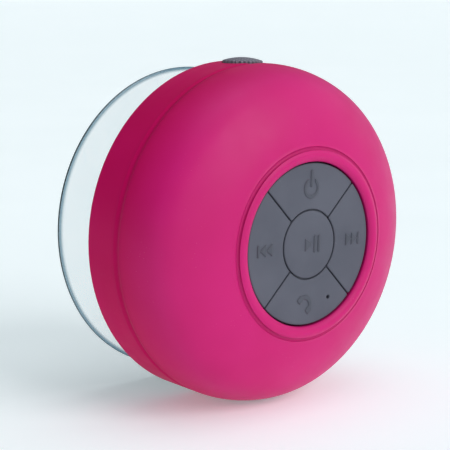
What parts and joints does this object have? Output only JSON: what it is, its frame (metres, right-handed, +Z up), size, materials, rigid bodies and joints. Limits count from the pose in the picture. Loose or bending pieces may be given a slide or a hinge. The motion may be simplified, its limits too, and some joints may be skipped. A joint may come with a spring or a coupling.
{
  "type": "shower speaker",
  "caption": "Round silicone-covered wireless speaker that sticks to a wall by a clear suction cup, with a flush key pad on its domed front and a plugged charging port on top.",
  "frame": {"origin": "centre of the suction cup's contact face, on the wall plane Y = 0", "axes": "+Y into the wall along the body's axis, so the keys face -Y; +Z up, with the charging port on top; +X to the right as seen from the front"},
  "size_m": [0.086, 0.0509, 0.0871],
  "materials": {
    "cup_vinyl": "clear soft PVC, glossy, slightly frosted",
    "pink_silicone": "satin pink silicone skin",
    "black_plastic": "moulded black ABS, fine texture",
    "grey_silicone": "matt grey silicone keys",
    "grey_rubber": "matt grey rubber plug",
    "seal_rubber": "black O-ring and boot rubber",
    "screw_steel": "plated steel screws",
    "mesh_steel": "dark woven acoustic mesh",
    "board_green": "glass-epoxy circuit board",
    "chip_black": "epoxy chip packages",
    "can_metal": "tinned shield can and shells",
    "capacitor_metal": "aluminium cans",
    "connector_plastic": "ivory nylon connectors",
    "switch_dome": "snap domes",
    "led_clear": "clear lens",
    "cell_foil": "aluminium laminate pouch",
    "foam_black": "adhesive foam pad",
    "frame_steel": "black driver frame",
    "ferrite": "ferrite ring",
    "zinc_steel": "zinc plated pole pieces",
    "coil_copper": "enamelled copper on a polyimide former",
    "cone_paper": "coated paper",
    "surround_rubber": "butyl roll",
    "spider_cloth": "phenolic cloth",
    "lead_red": "red insulation",
    "lead_black": "black insulation"
  },
  "bodies": {
    "wall_cup": {"suction_cup": "cup_vinyl"},
    "speaker": {"silicone_skin": "pink_silicone", "front_housing": "black_plastic", "rear_cover": "black_plastic", "rear_cover_seal": "seal_rubber", "rear_cover_screws": "screw_steel", "grille_mesh": "mesh_steel", "keypad_mat": "grey_silicone", "switch_bodies": "chip_black", "switch_domes": "switch_dome", "main_board": "board_green", "main_board_screws": "screw_steel", "bluetooth_module": "can_metal", "board_chips": "chip_black", "board_capacitors": "capacitor_metal", "battery_connector": "connector_plastic", "speaker_connector": "connector_plastic", "microphone_boot": "seal_rubber", "microphone_capsule": "capacitor_metal", "status_led": "led_clear", "battery_cell": "cell_foil", "battery_foam": "foam_black", "battery_protection_board": "board_green", "charge_board": "board_green", "charge_board_screws": "screw_steel", "usb_receptacle": "can_metal", "usb_insert": "chip_black", "speaker_gasket": "foam_black", "speaker_basket": "frame_steel", "speaker_terminal": "board_green", "speaker_top_plate": "zinc_steel", "speaker_magnet": "ferrite", "speaker_yoke": "zinc_steel", "speaker_surround": "surround_rubber", "speaker_spider": "spider_cloth", "speaker_screws": "screw_steel", "battery_lead_red": "lead_red", "battery_lead_black": "lead_black", "speaker_lead_red": "lead_red", "speaker_lead_black": "lead_black", "charge_lead_red": "lead_red", "charge_lead_black": "lead_black"},
    "power_key": {"key_power": "grey_silicone", "plunger_power": "connector_plastic"},
    "next_key": {"key_next": "grey_silicone", "plunger_next": "connector_plastic"},
    "call_key": {"key_call": "grey_silicone", "plunger_call": "connector_plastic"},
    "previous_key": {"key_previous": "grey_silicone", "plunger_previous": "connector_plastic"},
    "play_key": {"key_play": "grey_silicone", "plunger_play": "connector_plastic"},
    "driver_cone": {"voice_coil": "coil_copper", "speaker_cone": "cone_paper", "dust_cap": "cone_paper"},
    "plug": {"port_plug": "grey_rubber"}
  },
  "joints": [
    {"name": "body_turn", "type": "hinge", "parent": "wall_cup", "child": "speaker", "pos_m": [0, 0, 0], "axis": [0, 1, 0], "continuous": true},
    {"name": "power_press", "type": "slide", "parent": "speaker", "child": "power_key", "axis": [0, 1, 0], "range_m": [0, 0.0005], "stiffness_N_per_m": 800, "springref_m": -0.0005},
    {"name": "next_press", "type": "slide", "parent": "speaker", "child": "next_key", "axis": [0, 1, 0], "range_m": [0, 0.0005], "stiffness_N_per_m": 800, "springref_m": -0.0005},
    {"name": "call_press", "type": "slide", "parent": "speaker", "child": "call_key", "axis": [0, 1, 0], "range_m": [0, 0.0005], "stiffness_N_per_m": 800, "springref_m": -0.0005},
    {"name": "previous_press", "type": "slide", "parent": "speaker", "child": "previous_key", "axis": [0, 1, 0], "range_m": [0, 0.0005], "stiffness_N_per_m": 800, "springref_m": -0.0005},
    {"name": "play_press", "type": "slide", "parent": "speaker", "child": "play_key", "axis": [0, 1, 0], "range_m": [0, 0.0005], "stiffness_N_per_m": 800, "springref_m": -0.0005},
    {"name": "cone_stroke", "type": "slide", "parent": "speaker", "child": "driver_cone", "axis": [0, 1, 0], "range_m": [-0.001, 0.001], "stiffness_N_per_m": 900, "deforming": ["speaker_surround", "speaker_spider"]},
    {"name": "plug_pull", "type": "slide", "parent": "speaker", "child": "plug", "axis": [0, 0, 1], "range_m": [0, 0.006]}
  ]
}
